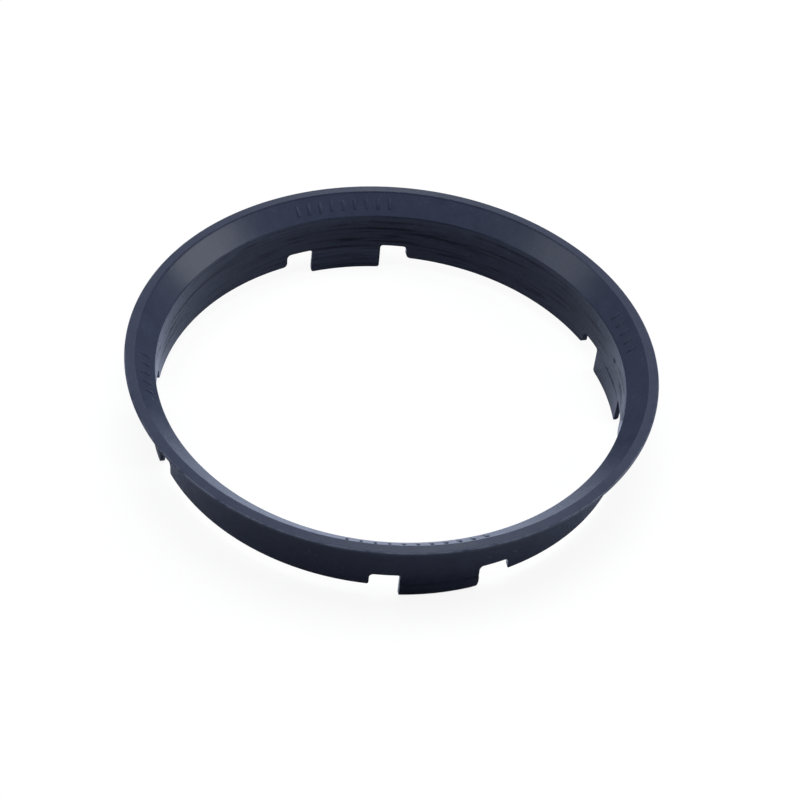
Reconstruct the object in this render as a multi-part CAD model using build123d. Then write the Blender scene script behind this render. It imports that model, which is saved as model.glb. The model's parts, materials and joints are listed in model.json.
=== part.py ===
"""Hub centric ring: a thin moulded spigot ring with a bevelled flange and four snap tabs."""
import os
from build123d import *

# Sizes in millimetres. The ring stands on the ends of its tabs at z = 0, bevelled side up.
bore_dia = 72.6          # slides over the hub's centring spigot
wall_thickness = 0.75    # plain wall, so the body is 74.1 across and fits the wheel's centre bore
flange_overhang = 3.85   # how far the flange stands out past the body
rim_width = 1.55         # flat face on top of the flange
bevel_depth = 2.8        # height of the conical lead from the rim down to the bore
edge_land = 0.4          # straight outer edge of the flange
body_height = 11.5       # from the rim face to the lower end of the wall
tab_count = 4
tab_width = 11.8
tab_reach = 2.35         # how far a tab stands below the wall
notch_width = 4.4        # relief beside each tab
notch_depth = 2.4        # how far a notch rises into the wall
root_land = 0.45         # plain stretch of a tab, between the notch's top and the groove
groove_height = 2.0      # groove across the tab's outer face, above the snap ridge
groove_depth = 0.2
ridge_lead = 0.65        # height of the sloping lead at the ridge's lower end
rounded_tabs = (2, 3)    # tabs with one well rounded corner, counted anticlockwise from +X

# Roundings and lead-ins, each a share of the size that it has to fit.
rim_edge_radius = 0.5 * edge_land
under_edge_radius = 0.25 * edge_land
bevel_foot_radius = 0.07 * bevel_depth
under_flange_radius = 0.2 * flange_overhang
notch_radius = 0.16 * notch_width
wall_corner_radius = 0.3 * notch_depth
tab_root_radius = 0.11 * notch_width
tab_corner = 0.2 * tab_reach
tab_corner_round = 0.62 * tab_reach
groove_edge = 0.35 * groove_depth
lead_in = 0.34 * wall_thickness
ridge_slope = 0.56 * wall_thickness

# Everything below follows from the sizes above.
bore_r = bore_dia / 2
body_r = bore_r + wall_thickness
flange_r = body_r + flange_overhang
bevel_r = flange_r - rim_width
height = body_height + tab_reach
wall_z = tab_reach
notch_z = wall_z + notch_depth
bevel_z = height - bevel_depth
land_z = height - edge_land
under_z = land_z - flange_overhang * bevel_depth / (bevel_r - bore_r)
groove_r = body_r - groove_depth
groove_z = notch_z - root_land
ridge_z = groove_z - groove_height
slot_half = tab_width / 2 + notch_width
far_r = 2 * flange_r


def section(corners):
    """Closed profile in the XZ plane, from corners given as radius, height and rounding."""
    face = make_face(Polyline(*[(r, 0, z) for r, z, rounding in corners], close=True)).face()
    for r, z, rounding in corners:
        if rounding > 0:
            nearest = face.vertices().sort_by_distance((r, 0, z))[0]
            face = face.fillet_2d(rounding, [nearest])
    return face


def outward(face):
    """Extrudes a profile drawn in the YZ plane along +X, clear through the wall."""
    return extrude(face, amount=far_r, dir=(1, 0, 0))


def cove(y, z, radius, side, lift):
    """Square with a quarter disc taken out of it, for a rounded shoulder; side and lift are signs."""
    square = Plane.YZ * Pos(y + side * radius / 2, z + lift * radius / 2) * Rectangle(radius, radius)
    disc = Plane.YZ * Pos(y + side * radius, z + lift * radius) * Circle(radius)
    return square - disc


def tab_block(late_corner):
    """Outline of one tab, seen from outside: square at its earlier end, rounded as given at its later end."""
    face = Plane.YZ * Pos(0, notch_z / 2) * Rectangle(tab_width, notch_z)
    early_end = face.vertices().sort_by_distance((0, -tab_width / 2, 0))[0]
    face = face.face().fillet_2d(tab_corner, [early_end])
    late_end = face.vertices().sort_by_distance((0, tab_width / 2, 0))[0]
    face = face.fillet_2d(late_corner, [late_end])
    block = outward(face)
    block += outward(cove(-tab_width / 2, notch_z, tab_root_radius, -1, -1))
    block += outward(cove(tab_width / 2, notch_z, tab_root_radius, 1, -1))
    return block


# Plain ring: wall, flange and bevel, turned in one piece.
wall_section = section([
    (bore_r, wall_z, 0),
    (body_r - lead_in, wall_z, 0),
    (body_r, wall_z + lead_in, 0),
    (body_r, under_z, under_flange_radius),
    (flange_r, land_z, under_edge_radius),
    (flange_r, height, rim_edge_radius),
    (bevel_r, height, rim_edge_radius),
    (bore_r, bevel_z, bevel_foot_radius),
])
ring = revolve(wall_section, Axis.Z, 360)

# Tab section: flush with the body at its root, then a groove, and a snap ridge that slopes in at its end.
tab_section = section([
    (bore_r, 0, 0),
    (body_r - ridge_slope, 0, 0),
    (body_r, ridge_lead, groove_edge),
    (body_r, ridge_z, groove_edge),
    (groove_r, ridge_z + groove_depth, 0),
    (groove_r, groove_z - groove_depth, 0),
    (body_r, groove_z, groove_edge),
    (body_r, notch_z, 0),
    (bore_r, notch_z, 0),
])
tab_ring = revolve(tab_section, Axis.Z, 360)

# Slot through the wall, with rounded inner corners and rounded shoulders where it leaves the wall.
slot_low = wall_z - wall_corner_radius
slot_face = Plane.YZ * Pos(0, (notch_z + slot_low) / 2) * Rectangle(2 * slot_half, notch_z - slot_low)
slot_top = slot_face.vertices().group_by(Axis.Z)[-1]
slot = outward(slot_face.face().fillet_2d(notch_radius, slot_top))
slot += outward(cove(-slot_half, wall_z, wall_corner_radius, -1, 1))
slot += outward(cove(slot_half, wall_z, wall_corner_radius, 1, 1))

# The slots are cut first, then a tab is set in the middle of each.
turns = [Rot(0, 0, 360 * number / tab_count) for number in range(tab_count)]
for turn in turns:
    ring -= turn * slot
for number, turn in enumerate(turns):
    late_corner = tab_corner_round if number in rounded_tabs else tab_corner
    ring += turn * (tab_ring & tab_block(late_corner))

part = ring.solids()[0]
part.label = "ring"

os.makedirs("parts", exist_ok=True)
export_step(part, "parts/ring.step")
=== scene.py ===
import bmesh
import bpy
import json
import math
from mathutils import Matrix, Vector


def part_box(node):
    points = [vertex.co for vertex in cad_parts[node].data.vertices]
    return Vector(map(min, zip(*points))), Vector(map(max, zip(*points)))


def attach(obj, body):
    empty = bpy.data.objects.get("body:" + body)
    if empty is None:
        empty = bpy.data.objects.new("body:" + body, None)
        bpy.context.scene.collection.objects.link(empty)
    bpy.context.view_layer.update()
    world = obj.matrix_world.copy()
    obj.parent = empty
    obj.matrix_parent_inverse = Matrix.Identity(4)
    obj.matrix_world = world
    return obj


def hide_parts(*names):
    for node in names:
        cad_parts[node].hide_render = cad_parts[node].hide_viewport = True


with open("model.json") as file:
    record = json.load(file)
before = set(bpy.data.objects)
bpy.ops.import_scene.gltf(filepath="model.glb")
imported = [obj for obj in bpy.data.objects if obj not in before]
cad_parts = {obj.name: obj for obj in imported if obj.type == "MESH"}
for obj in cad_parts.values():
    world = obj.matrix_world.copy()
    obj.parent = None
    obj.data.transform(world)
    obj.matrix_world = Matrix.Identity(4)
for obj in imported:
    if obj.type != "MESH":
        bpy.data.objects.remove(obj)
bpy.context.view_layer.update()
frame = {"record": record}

mm = 0.001              # pieces are drawn in millimetres and brought to metres at the end
fullTurn = 2 * math.pi
clear = 1               # cutters reach at least this far past what they cut
stepsPerDegree = 2      # in the turned cutters


# hand tools

def startFresh():
    if bpy.context.object and bpy.context.object.mode != 'OBJECT':
        bpy.ops.object.mode_set(mode='OBJECT')
    bpy.ops.object.select_all(action='DESELECT')


def takeUp(piece):
    startFresh()
    piece.select_set(True)
    bpy.context.view_layer.objects.active = piece


def pickVerts(piece, isWanted):    # edit mode: select the vertices whose place passes the test
    bpy.ops.mesh.select_mode(type='VERT')
    bpy.ops.mesh.select_all(action='DESELECT')
    mesh = bmesh.from_edit_mesh(piece.data)
    for vert in mesh.verts:
        vert.select = isWanted(vert.co)
    mesh.select_flush_mode()
    bmesh.update_edit_mesh(piece.data)


def roundCorner(piece, before, corner, after, radius, steps):
    halfAngle = (before - corner).angle(after - corner) / 2
    pickVerts(piece, lambda place: (place - corner).length < 0.001)
    bpy.ops.mesh.bevel(offset=radius / math.tan(halfAngle), segments=steps, affect='VERTICES', profile=0.5)


def drawOutline(name, corners, steps=5):
    # one vertex is pulled from corner to corner, the outline filled, then its corners rounded
    startFresh()
    bpy.ops.mesh.primitive_plane_add(size=1)
    piece = bpy.context.object
    piece.name = name
    bpy.ops.object.mode_set(mode='EDIT')
    bpy.ops.mesh.select_all(action='SELECT')
    bpy.ops.mesh.merge(type='CENTER')
    places = [Vector(place) for place, radius in corners]
    bpy.ops.transform.translate(value=places[0])
    for before, after in zip(places, places[1:]):
        bpy.ops.mesh.extrude_vertices_move(TRANSFORM_OT_translate={"value": after - before})
    bpy.ops.mesh.select_all(action='SELECT')
    bpy.ops.mesh.edge_face_add()
    for number, (place, radius) in enumerate(corners):
        if radius:
            nextPlace = places[(number + 1) % len(places)]
            roundCorner(piece, places[number - 1], places[number], nextPlace, radius, steps)
    return piece


def closeMesh():    # edit mode: merge what lies together and turn every face outwards
    bpy.ops.mesh.select_all(action='SELECT')
    bpy.ops.mesh.remove_doubles(threshold=0.0005)
    bpy.ops.mesh.normals_make_consistent(inside=False)
    bpy.ops.object.mode_set(mode='OBJECT')


def spinSection(angle, steps):    # edit mode: turn the drawn section round the upright axis
    bpy.ops.mesh.select_all(action='SELECT')
    if angle == fullTurn:
        bpy.ops.mesh.delete(type='ONLY_FACE')
        bpy.ops.mesh.select_all(action='SELECT')
    bpy.ops.mesh.spin(steps=steps, angle=-angle, center=(0, 0, 0), axis=(0, 0, 1))    # minus: anticlockwise
    closeMesh()


def copyRound(piece, angles):    # copies of the piece at these angles round the upright axis, as one object
    copies = []
    for angle in angles:
        takeUp(piece)
        bpy.ops.object.duplicate(linked=False)
        turn = -math.radians(angle)    # minus: anticlockwise
        bpy.ops.transform.rotate(value=turn, orient_axis='Z', center_override=(0, 0, 0))
        copies.append(bpy.context.object)
    bpy.data.objects.remove(piece, do_unlink=True)
    return joinPieces(copies)


def joinPieces(pieces):
    startFresh()
    for piece in pieces:
        piece.select_set(True)
    bpy.context.view_layer.objects.active = pieces[0]
    bpy.ops.object.transform_apply(location=True, rotation=True, scale=True)
    bpy.ops.object.join()
    return bpy.context.object


def cutAway(piece, cutter):
    takeUp(piece)
    cut = piece.modifiers.new(cutter.name, 'BOOLEAN')
    cut.operation = 'DIFFERENCE'
    cut.solver = 'EXACT'
    cut.object = cutter
    bpy.ops.object.modifier_apply(modifier=cut.name)
    bpy.data.objects.remove(cutter, do_unlink=True)
    bpy.ops.object.mode_set(mode='EDIT')
    bpy.ops.mesh.select_all(action='SELECT')
    bpy.ops.mesh.dissolve_degenerate(threshold=0.002)    # slivers along the cut
    closeMesh()


def toMetres(piece, smoothAngle):
    takeUp(piece)
    bpy.ops.object.mode_set(mode='EDIT')
    bpy.ops.mesh.select_all(action='SELECT')
    bpy.ops.transform.resize(value=(mm, mm, mm), center_override=(0, 0, 0))
    bpy.ops.object.mode_set(mode='OBJECT')
    bpy.ops.object.shade_smooth_by_angle(angle=math.radians(smoothAngle))


# ring moulding, in millimetres: bore and body from the part's own mounts, flange and height from its box

mountSizes = {mount["name"]: mount["dims"] for mount in frame["record"]["mounts"]}
nodeLow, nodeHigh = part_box("ring")

ringShape = {
    "boreR": mountSizes["hub_bore"]["r_mm"],
    "bodyR": mountSizes["wheel_spigot"]["r_mm"],
    "flangeR": (nodeHigh.x - nodeLow.x) / 2 / mm,
    "height": (nodeHigh.z - nodeLow.z) / mm,
    "rimWidth": 1.55,
    "bevelDepth": 2.8,
    "edgeLand": 0.4,
    "wallBottom": 2.35,
    "leadIn": 0.255,
    "rimEdge": 0.2,          # roundings of the section
    "underEdge": 0.1,
    "bevelFoot": 0.196,
    "underFlange": 0.77,
    "edgeHold": 0.14,        # loops this near the roundings keep the flats flat in the light
    "spinSteps": 480,
}
ringShape["bevelR"] = ringShape["flangeR"] - ringShape["rimWidth"]
ringShape["bevelFootZ"] = ringShape["height"] - ringShape["bevelDepth"]

tabShape = {
    "angles": [0, 90, 180, 270],
    "width": 11.8,
    "grooveTop": 4.3,
    "grooveDepth": 0.2,
    "ridgeTop": 2.3,         # snap ridge, with a lead that slopes in to the tab's end
    "leadHeight": 0.65,
    "leadDepth": 0.42,
    "ridgeRound": 0.07,
    "corner": 0.47,
    "roundCorner": 1.457,    # later corner of two of the tabs
    "roundAngles": [180, 270],
    "notchWidth": 4.4,
    "notchTop": 4.75,
    "rootRound": 0.484,      # where the tab meets the notch's top
    "notchRound": 0.704,
    "wallRound": 0.72,       # where the notch meets the wall's lower edge
    "trimAngle": 12.5,       # trims end inside the notches, this far from a tab's middle
    "ridgeTrimAngle": 13.3,
    "notchStart": 4,         # the notches' cutter starts this far inside the bore
    "notchPush": 8,
}


def drawRing(s):
    slope = s["bevelDepth"] / (s["bevelR"] - s["boreR"])
    landZ = s["height"] - s["edgeLand"]
    underZ = landZ - slope * (s["flangeR"] - s["bodyR"])
    hold = s["edgeHold"]
    ring = drawOutline("ringMoulding", [
        ((s["boreR"], 0, 0), 0),
        ((s["bodyR"], 0, 0), 0),
        ((s["bodyR"], 0, underZ), s["underFlange"]),
        ((s["flangeR"], 0, landZ), s["underEdge"]),
        ((s["flangeR"], 0, s["height"]), s["rimEdge"]),
        ((s["flangeR"] - s["rimEdge"] - hold, 0, s["height"]), 0),
        ((s["bevelR"] + hold, 0, s["height"]), 0),
        ((s["bevelR"], 0, s["height"]), s["rimEdge"]),
        ((s["bevelR"] - hold, 0, s["height"] - slope * hold), 0),
        ((s["boreR"] + hold, 0, s["bevelFootZ"] + slope * hold), 0),
        ((s["boreR"], 0, s["bevelFootZ"]), s["bevelFoot"]),
        ((s["boreR"], 0, s["bevelFootZ"] - hold), 0),
    ])
    spinSection(fullTurn, s["spinSteps"])
    return ring


def sectorTrim(name, outline, fromAngle, toAngle, angles):
    # outline is radius, height and rounding; it is turned from one angle to the other, then copied round
    start = math.radians(fromAngle)
    corners = [((r * math.cos(start), r * math.sin(start), z), rounding) for r, z, rounding in outline]
    trim = drawOutline(name, corners)
    sweep = toAngle - fromAngle
    spinSection(math.radians(sweep), round(sweep * stepsPerDegree))
    return copyRound(trim, angles)


def drawWallTrim(s, t):    # takes away all below the wall, between the tabs, and leaves a lead-in
    inside = s["boreR"] - clear
    outside = s["bodyR"] + clear
    outline = [
        (inside, -clear, 0),
        (inside, s["wallBottom"], 0),
        (s["bodyR"] - s["leadIn"], s["wallBottom"], 0),
        (outside, s["wallBottom"] + s["leadIn"] + clear, 0),
        (outside, -clear, 0),
    ]
    return sectorTrim("wallTrim", outline, t["trimAngle"], 90 - t["trimAngle"], t["angles"])


def drawRidgeTrim(s, t):    # leaves the groove, the snap ridge and its lead on a tab's outer face
    skin = 0.004             # the ridge's face is dressed by this much
    outside = s["bodyR"] + clear
    depth = t["grooveDepth"]
    grooveR = s["bodyR"] - depth
    outline = [
        (s["bodyR"] - 2 * t["leadDepth"], -t["leadHeight"], 0),
        (s["bodyR"] - skin, t["leadHeight"], t["ridgeRound"]),
        (s["bodyR"] - skin, t["ridgeTop"], t["ridgeRound"]),
        (grooveR, t["ridgeTop"] + depth, 0),
        (grooveR, t["grooveTop"] - depth, 0),
        (s["bodyR"] + depth, t["grooveTop"] + depth, 0),
        (outside, t["grooveTop"] + depth, 0),
        (outside, -t["leadHeight"], 0),
    ]
    reach = t["ridgeTrimAngle"]
    return sectorTrim("ridgeTrim", outline, -reach, reach, t["angles"])


def drawNotch(s, t, side, cornerRound, angles):
    # the space beside a tab, seen from outside, pushed out through the wall
    inside = s["boreR"] - t["notchStart"]
    tabEdge = t["width"] / 2
    farEdge = tabEdge + t["notchWidth"]
    past = farEdge + 2 * clear
    below = 0.004            # just under the faces that it ends on
    outline = [
        (tabEdge - 2 * cornerRound, -clear, 0),
        (tabEdge - 2 * cornerRound, -below, 0),
        (tabEdge, -below, cornerRound),
        (tabEdge, t["notchTop"], t["rootRound"]),
        (farEdge, t["notchTop"], t["notchRound"]),
        (farEdge, s["wallBottom"] - below, t["wallRound"]),
        (past, s["wallBottom"] - below, 0),
        (past, -clear, 0),
    ]
    corners = [((inside, side * y, z), radius) for y, z, radius in outline]
    notch = drawOutline("notch", corners, steps=7)
    bpy.ops.mesh.select_all(action='SELECT')
    bpy.ops.mesh.extrude_region_move(TRANSFORM_OT_translate={"value": (t["notchPush"], 0, 0)})
    closeMesh()
    return copyRound(notch, angles)


def buildRing(s, t):
    ring = drawRing(s)
    cutAway(ring, drawWallTrim(s, t))
    cutAway(ring, drawRidgeTrim(s, t))
    plainAngles = [angle for angle in t["angles"] if angle not in t["roundAngles"]]
    cutAway(ring, drawNotch(s, t, -1, t["corner"], t["angles"]))
    cutAway(ring, drawNotch(s, t, 1, t["corner"], plainAngles))
    cutAway(ring, drawNotch(s, t, 1, t["roundCorner"], t["roundAngles"]))
    toMetres(ring, smoothAngle=30)
    return ring


# raised ticks on the bevel, one row over each tab

tickShape = {
    "length": 1.8,           # along the slope
    "width": 0.46,
    "rise": 0.11,
    "sink": 0.2,
    "edge": 0.09,
    "spacing": 3.0,          # degrees from tick to tick
    "rows": {91.0: 9, 263.5: 11, 2.0: 5, 177.5: 5},    # middle of each row and its ticks
}


def drawTick(t):    # one tick at the origin, lying along X, its foot below the surface
    startFresh()
    bpy.ops.mesh.primitive_cube_add(size=1)
    tick = bpy.context.object
    bpy.ops.object.mode_set(mode='EDIT')
    bpy.ops.mesh.select_all(action='SELECT')
    thick = t["rise"] + t["sink"]
    bpy.ops.transform.resize(value=(t["length"], t["width"], thick), center_override=(0, 0, 0))
    bpy.ops.transform.translate(value=(0, 0, (t["rise"] - t["sink"]) / 2))
    bpy.ops.mesh.bevel(offset=t["edge"], segments=2, affect='EDGES')
    bpy.ops.object.mode_set(mode='OBJECT')
    return tick


def buildTicks(s, t):
    slope = math.atan2(s["bevelDepth"], s["bevelR"] - s["boreR"])
    middleR = (s["boreR"] + s["bevelR"]) / 2
    middleZ = s["height"] - s["bevelDepth"] / 2
    angles = []
    for middle, count in t["rows"].items():
        angles += [middle + (number - (count - 1) / 2) * t["spacing"] for number in range(count)]
    tick = drawTick(t)
    takeUp(tick)
    bpy.ops.transform.rotate(value=slope, orient_axis='Y', center_override=(0, 0, 0))
    bpy.ops.transform.translate(value=(middleR, 0, middleZ))
    tickRows = copyRound(tick, angles)
    tickRows.name = "bevelTicks"
    toMetres(tickRows, smoothAngle=30)
    return tickRows


# satin plastic: moulded grain, a bore burnished by the hub with rub marks and pits, a worn rim edge that is
# partly a painted highlight, and painted shade along the rim's inner edge at the back

plasticLook = {
    "deep": (0.027, 0.034, 0.060),
    "pale": (0.039, 0.048, 0.082),
    # dark rubbed tone, also used for the painted shade line on the rim's inner edge
    "rubbed": (0.010, 0.013, 0.030),
    "scuffed": (0.017, 0.013, 0.016),
    # pale colour of the rim's outer edge: wear, partly a painted highlight
    "worn": (0.090, 0.100, 0.140),
    "specular": 0.22,
    "roughness": (0.2, 0.28),    # smoothest and dullest spots of the plain finish
    "burnishSpecular": 0.17,
    "burnishRoughness": 0.12,
    "burnishHeight": (8.8, 10.7),    # all burnished below, plain above
    "burnishWander": 0.5,
    "boreSkin": (0.03, 0.10),    # how near the bore's surface counts as in the bore
    "tabHalf": 6.2,          # the lower ends of the tabs stay plain
    "tabTop": 4.1,
    "grainScale": 2.6,       # per millimetre
    "grainDepth": 0.03,
    "grainStrength": 0.3,
    "mottleScale": 0.4,
    "rubAlong": 0.09,
    "rubAcross": 2.3,
    "rubLevel": (0.48, 0.68),    # of the rub noise: untouched below, fully rubbed above
    "scuffLevel": (0.58, 0.66),
    "scuffDulling": 0.2,     # roughness that scuffs add
    "pitScale": 0.2,
    "pitSize": (0.04, 0.10),
    "edgeWear": (0.26, 0.12),    # in from the rim's outer edge, where the wear and painted highlight start and where they are full
    "wearLevel": (0.36, 0.58),
    "topSkin": (0.30, 0.10),
    "lineWidth": (0.08, 0.22),   # painted shade line on the rim's inner edge, and where it fades in towards the back
    "lineBack": (12, 24),
    "marks": [               # larger scuffs in the bore: angle, height, half length, half height, strength
        (-1.5, 4.4, 5.6, 0.45, 1.0),
        (-0.8, 8.0, 1.0, 0.80, 1.0),
        (-10.0, 7.0, 3.2, 0.95, 0.8),
        (89.0, 6.1, 3.4, 0.50, 0.8),
        (63.0, 7.6, 7.0, 0.40, 0.8),
        (161.8, 8.0, 0.8, 0.45, 0.9),
    ],
    "markSoft": (0.3, 1.1),      # from a mark's solid middle to its end, in shares of its half size
    "markWander": 0.35,
    "markFray": 0.3,
    "wear": [                # wear, painted shade and painted highlight: kind, its colour, how far the tone goes to it, how much gloss is left
        ("burnish", "rubbed", 0.4, 1),
        ("rub", "rubbed", 0.7, 0.75),
        ("scuff", "scuffed", 0.6, 0.35),
        ("mark", "scuffed", 0.7, 0.2),
        ("pit", "rubbed", 0.8, 1),
        # painted shade along the rim's inner edge at the back
        ("line", "rubbed", 0.6, 0.5),
        # pale wear on the rim's outer edge, partly a painted highlight
        ("edge", "worn", 1, 1),
    ],
}


def addNode(tree, kind, values, **setup):    # a value is a number, a colour or another node's output
    made = tree.nodes.new("ShaderNode" + kind)
    for name, value in setup.items():
        setattr(made, name, value)
    for socket, value in values.items():
        if isinstance(value, bpy.types.NodeSocket):
            tree.links.new(value, made.inputs[socket])
        else:
            made.inputs[socket].default_value = value
    return made


def blendColour(tree, share, under, over):
    mix = addNode(tree, "Mix", {"Factor": share}, data_type='RGBA')
    for socket, colour in (("A", under), ("B", over)):
        if isinstance(colour, bpy.types.NodeSocket):
            tree.links.new(colour, [i for i in mix.inputs if i.name == socket and i.type == 'RGBA'][0])
        else:
            [i for i in mix.inputs if i.name == socket and i.type == 'RGBA'][0].default_value = (*colour, 1)
    return [o for o in mix.outputs if o.type == 'RGBA'][0]


def ramp(tree, value, low, high, start=0.0, end=1.0):    # start below low, end above high
    level = addNode(tree, "MapRange", {"Value": value, "From Min": low, "From Max": high,
                                       "To Min": start, "To Max": end})
    return level.outputs["Result"]


def maths(tree, operation, first, second):
    return addNode(tree, "Math", {0: first, 1: second}, operation=operation).outputs[0]


def both(tree, first, second):    # where both masks hold
    return maths(tree, 'MULTIPLY', first, second)


def noise(tree, place, scale, detail, roughness, distortion=0.0):
    values = {"Vector": place, "Scale": scale, "Detail": detail, "Roughness": roughness}
    values["Distortion"] = distortion
    return addNode(tree, "TexNoise", values).outputs["Fac"]


def spread(tree, level, start, end):    # a noise lies mostly between 0.3 and 0.7
    return ramp(tree, level, 0.3, 0.7, start, end)


def distanceOf(tree, place):
    return addNode(tree, "VectorMath", {0: place}, operation='LENGTH').outputs["Value"]


def largerMarks(tree, look, s, turn, height, fray):    # soft ovals with ragged edges, laid round the bore
    solid, end = look["markSoft"]
    found = 0
    for angle, middle, halfLong, halfHigh, strength in look["marks"]:
        sideways = maths(tree, 'SUBTRACT', turn, math.radians(angle))
        sideways = maths(tree, 'MULTIPLY', sideways, s["boreR"] / halfLong)
        upwards = maths(tree, 'DIVIDE', maths(tree, 'SUBTRACT', height, middle), halfHigh)
        away = addNode(tree, "CombineXYZ", {"X": sideways, "Y": upwards}).outputs[0]
        ragged = maths(tree, 'ADD', distanceOf(tree, away), fray)
        found = maths(tree, 'MAXIMUM', ramp(tree, ragged, solid, end, strength, 0), found)
    return found


def satinPlastic(look, s):
    plastic = bpy.data.materials.new("satinPlastic")
    plastic.use_nodes = True
    tree = plastic.node_tree
    shader = tree.nodes["Principled BSDF"]
    objectPlace = addNode(tree, "TexCoord", {}).outputs["Object"]
    inMm = addNode(tree, "Mapping", {"Vector": objectPlace, "Scale": (1 / mm, 1 / mm, 1 / mm)}).outputs[0]
    axes = addNode(tree, "SeparateXYZ", {"Vector": inMm})
    x, y, height = axes.outputs["X"], axes.outputs["Y"], axes.outputs["Z"]
    radius = distanceOf(tree, addNode(tree, "CombineXYZ", {"X": x, "Y": y}).outputs[0])
    mottle = noise(tree, inMm, look["mottleScale"], 6, 0.6)
    grain = noise(tree, inMm, look["grainScale"], 4, 0.65)
    masks = {}

    # the hub has burnished the bore up to a little below the bevel, but not the lower ends of the tabs
    near, far = look["boreSkin"]
    inBore = ramp(tree, radius, s["boreR"] + near, s["boreR"] + far, 1, 0)
    wander = look["burnishWander"]
    level = maths(tree, 'ADD', height, spread(tree, mottle, -wander, wander))
    low, high = look["burnishHeight"]
    offAxis = maths(tree, 'MINIMUM', maths(tree, 'ABSOLUTE', x, 0), maths(tree, 'ABSOLUTE', y, 0))
    beside = ramp(tree, offAxis, look["tabHalf"], look["tabHalf"] + 0.3)
    overTab = ramp(tree, height, look["tabTop"] - 0.1, look["tabTop"] + 0.5)
    burnish = both(tree, inBore, ramp(tree, level, low, high, 1, 0))
    burnish = both(tree, burnish, maths(tree, 'MAXIMUM', beside, overTab))
    masks["burnish"] = burnish

    # rub marks run round the bore, long in plan and thin in height, and the strongest are scuffs
    along, across = look["rubAlong"], look["rubAcross"]
    rubPlace = addNode(tree, "Mapping", {"Vector": inMm, "Scale": (along, along, across)}).outputs[0]
    rub = noise(tree, rubPlace, 1, 2.5, 0.5, 0.5)
    masks["rub"] = both(tree, ramp(tree, rub, *look["rubLevel"]), inBore)
    masks["scuff"] = both(tree, ramp(tree, rub, *look["scuffLevel"]), burnish)

    # the larger scuffs, at their own places
    turn = maths(tree, 'ARCTAN2', y, x)
    wander = look["markWander"]
    uneven = maths(tree, 'ADD', height, spread(tree, mottle, -wander, wander))
    fray = spread(tree, grain, -look["markFray"], look["markFray"])
    masks["mark"] = both(tree, largerMarks(tree, look, s, turn, uneven, fray), inBore)

    # a few small pits in the bore
    cells = addNode(tree, "TexVoronoi", {"Vector": inMm, "Scale": look["pitScale"]})
    ragged = maths(tree, 'ADD', cells.outputs["Distance"], spread(tree, grain, -0.03, 0.03))
    masks["pit"] = both(tree, ramp(tree, ragged, *look["pitSize"], 1, 0), inBore)

    # the rim's outer edge is worn paler in places, partly a painted highlight along that edge
    near, far = look["edgeWear"]
    atEdge = ramp(tree, radius, s["flangeR"] - near, s["flangeR"] - far)
    near, far = look["topSkin"]
    onTop = ramp(tree, height, s["height"] - near, s["height"] - far)
    wearAndHighlightSpots = ramp(tree, mottle, *look["wearLevel"])
    masks["edge"] = both(tree, both(tree, atEdge, onTop), wearAndHighlightSpots)

    # a thin line of painted shade follows the rim's inner edge round the back
    fromEdge = maths(tree, 'ABSOLUTE', maths(tree, 'SUBTRACT', radius, s["bevelR"]), 0)
    line = both(tree, ramp(tree, fromEdge, *look["lineWidth"], 1, 0), onTop)
    masks["line"] = both(tree, line, ramp(tree, y, *look["lineBack"]))

    blotches = maths(tree, 'ADD', spread(tree, mottle, 0, 0.5), spread(tree, grain, 0, 0.5))
    tone = blendColour(tree, blotches, look["deep"], look["pale"])
    gloss = ramp(tree, burnish, 0, 1, look["specular"], look["burnishSpecular"])
    for kind, colour, share, glossLeft in look["wear"]:
        tone = blendColour(tree, maths(tree, 'MULTIPLY', masks[kind], share), tone, look[colour])
        gloss = maths(tree, 'MULTIPLY', gloss, ramp(tree, masks[kind], 0, 1, 1, glossLeft))
    tree.links.new(tone, shader.inputs["Base Color"])
    tree.links.new(gloss, shader.inputs["Specular IOR Level"])

    smooth, dull = look["roughness"]
    plain = spread(tree, mottle, smooth, dull)
    polished = addNode(tree, "Mix", {"Factor": burnish, "A": plain, "B": look["burnishRoughness"]})
    finish = polished.outputs["Result"]
    for kind in ("scuff", "mark"):
        finish = maths(tree, 'ADD', finish, maths(tree, 'MULTIPLY', masks[kind], look["scuffDulling"]))
    tree.links.new(finish, shader.inputs["Roughness"])

    # pits and rub marks lie a little lower than the grain
    relief = maths(tree, 'SUBTRACT', grain, maths(tree, 'MULTIPLY', masks["pit"], 3))
    relief = maths(tree, 'SUBTRACT', relief, maths(tree, 'MULTIPLY', masks["rub"], 0.6))
    depth = look["grainDepth"] * mm
    bump = addNode(tree, "Bump", {"Strength": look["grainStrength"], "Distance": depth, "Height": relief})
    tree.links.new(bump.outputs["Normal"], shader.inputs["Normal"])
    return plastic


# floor, light and camera

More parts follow.
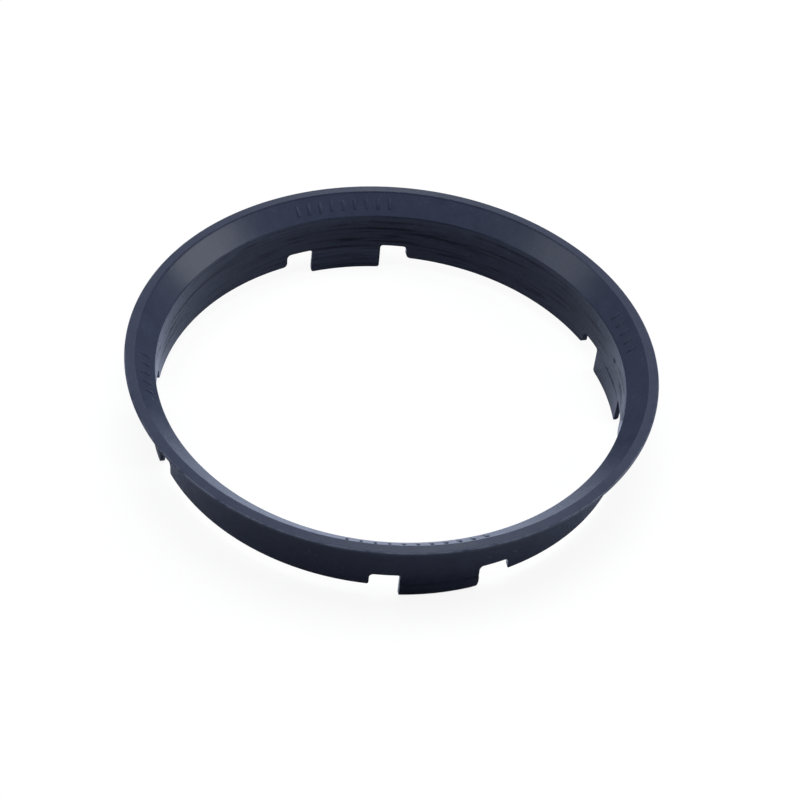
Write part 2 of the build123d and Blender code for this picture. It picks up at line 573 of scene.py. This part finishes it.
studio = {
    "floorSize": 6.0,
    "worldLight": 0.03,
    "worldGloss": 0.15,      # what a gloss shows of the white world
    "floorBounce": (0.08, 0.105, 0.195),    # how much light the floor gives back
    "floorInGloss": (0.60, 0.66, 0.84),     # and how pale it shows in a gloss
    "shadowShare": 0.1,      # how much of its shading the camera sees
    "shadowReach": (0.08, 0.30),    # metres from the middle over which that fades out
    "lampColour": (0.96, 0.98, 1.0),
    "lamps": [               # name, azimuth, elevation, distance in metres, width, height, watts
        ("topSoft", 75, 85, 0.8, 0.5, 0.5, 4.7),
        ("topBack", 74, 70, 0.8, 0.4, 0.4, 0.2),
        ("leftHigh", 185, 60, 0.7, 0.3, 0.3, 1.0),
        ("rightHigh", 345, 62, 0.7, 0.3, 0.3, 0.1),
        ("backHigh", 71, 49, 0.7, 0.06, 0.12, 0.15),
        ("backLow", 76, 37, 0.7, 0.06, 0.12, 0.05),
        ("backSoft", 74, 42, 0.7, 0.5, 0.3, 0.22),
        ("leftSoft", 169, 44, 0.6, 0.2, 0.25, 0.41),
        ("rightSoft", 359, 37, 0.6, 0.26, 0.25, 0.88),
        ("rightLow", 345, 16, 0.6, 0.25, 0.15, 0.6),
    ],
    # these light the ring but show in no gloss
    "dullLamps": ["topSoft", "topBack", "leftHigh", "rightHigh"],
}

cameraSet = {
    "location": (-0.058125, -0.205352, 0.211201),
    "turn": (45.6423, -4.4466, -11.9407),
    "lens": 85.356,
    "sensor": 36,
}


def buildStudio(s):
    startFresh()
    bpy.ops.mesh.primitive_plane_add(size=s["floorSize"], location=(0, 0, 0))
    floor = bpy.context.object
    floor.name = "studioFloor"
    pale = bpy.data.materials.new("paleFloor")
    pale.use_nodes = True
    tree = pale.node_tree
    tree.nodes.remove(tree.nodes["Principled BSDF"])
    path = addNode(tree, "LightPath", {})
    direct = maths(tree, 'MAXIMUM', path.outputs["Is Camera Ray"], path.outputs["Is Transmission Ray"])
    shade = blendColour(tree, path.outputs["Is Glossy Ray"], s["floorBounce"], s["floorInGloss"])
    matt = addNode(tree, "BsdfDiffuse", {"Color": blendColour(tree, direct, shade, (1, 1, 1))})
    glow = addNode(tree, "Emission", {"Color": (1, 1, 1, 1), "Strength": 1})
    away = distanceOf(tree, addNode(tree, "TexCoord", {}).outputs["Object"])
    plainShare = ramp(tree, away, *s["shadowReach"], 1 - s["shadowShare"], 1)
    share = maths(tree, 'MULTIPLY', direct, plainShare)
    mix = addNode(tree, "MixShader", {0: share, 1: matt.outputs[0], 2: glow.outputs[0]})
    tree.links.new(mix.outputs[0], tree.nodes["Material Output"].inputs["Surface"])
    floor.data.materials.append(pale)

    world = bpy.data.worlds.new("studioWorld")
    bpy.context.scene.world = world
    world.use_nodes = True
    tree = world.node_tree
    background = tree.nodes["Background"]
    background.inputs["Color"].default_value = (1, 1, 1, 1)
    path = addNode(tree, "LightPath", {})
    direct = maths(tree, 'MAXIMUM', path.outputs["Is Camera Ray"], path.outputs["Is Transmission Ray"])
    inGloss = maths(tree, 'MULTIPLY', path.outputs["Is Glossy Ray"], s["worldGloss"])
    level = maths(tree, 'MAXIMUM', maths(tree, 'MAXIMUM', direct, inGloss), s["worldLight"])
    tree.links.new(level, background.inputs["Strength"])

    for name, azimuth, elevation, distance, width, height, watts in s["lamps"]:
        startFresh()
        flat = distance * math.cos(math.radians(elevation))
        spot = Vector((
            flat * math.cos(math.radians(azimuth)),
            flat * math.sin(math.radians(azimuth)),
            distance * math.sin(math.radians(elevation)),
        ))
        bpy.ops.object.light_add(type='AREA', location=spot)
        lamp = bpy.context.object
        lamp.name = name
        lamp.rotation_euler = spot.to_track_quat('Z', 'Y').to_euler()
        lamp.data.shape = 'RECTANGLE'
        lamp.data.size = width
        lamp.data.size_y = height
        lamp.data.energy = watts
        lamp.data.color = s["lampColour"]
        lamp.visible_glossy = name not in s["dullLamps"]


def buildCamera(c):
    startFresh()
    turn = [math.radians(angle) for angle in c["turn"]]
    bpy.ops.object.camera_add(location=c["location"], rotation=turn)
    camera = bpy.context.object
    camera.data.lens = c["lens"]
    camera.data.sensor_width = c["sensor"]
    camera.data.clip_start = 0.01
    bpy.context.scene.camera = camera


print("ring moulding")
plastic = satinPlastic(plasticLook, ringShape)
ringMoulding = buildRing(ringShape, tabShape)
ringMoulding.data.materials.clear()
ringMoulding.data.materials.append(plastic)
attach(ringMoulding, "root")
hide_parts("ring")

print("bevel ticks")
bevelTicks = buildTicks(ringShape, tickShape)
bevelTicks.data.materials.append(plastic)
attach(bevelTicks, "root")

print("studio and camera")
buildStudio(studio)
buildCamera(cameraSet)
bpy.context.scene.view_settings.view_transform = 'Standard'
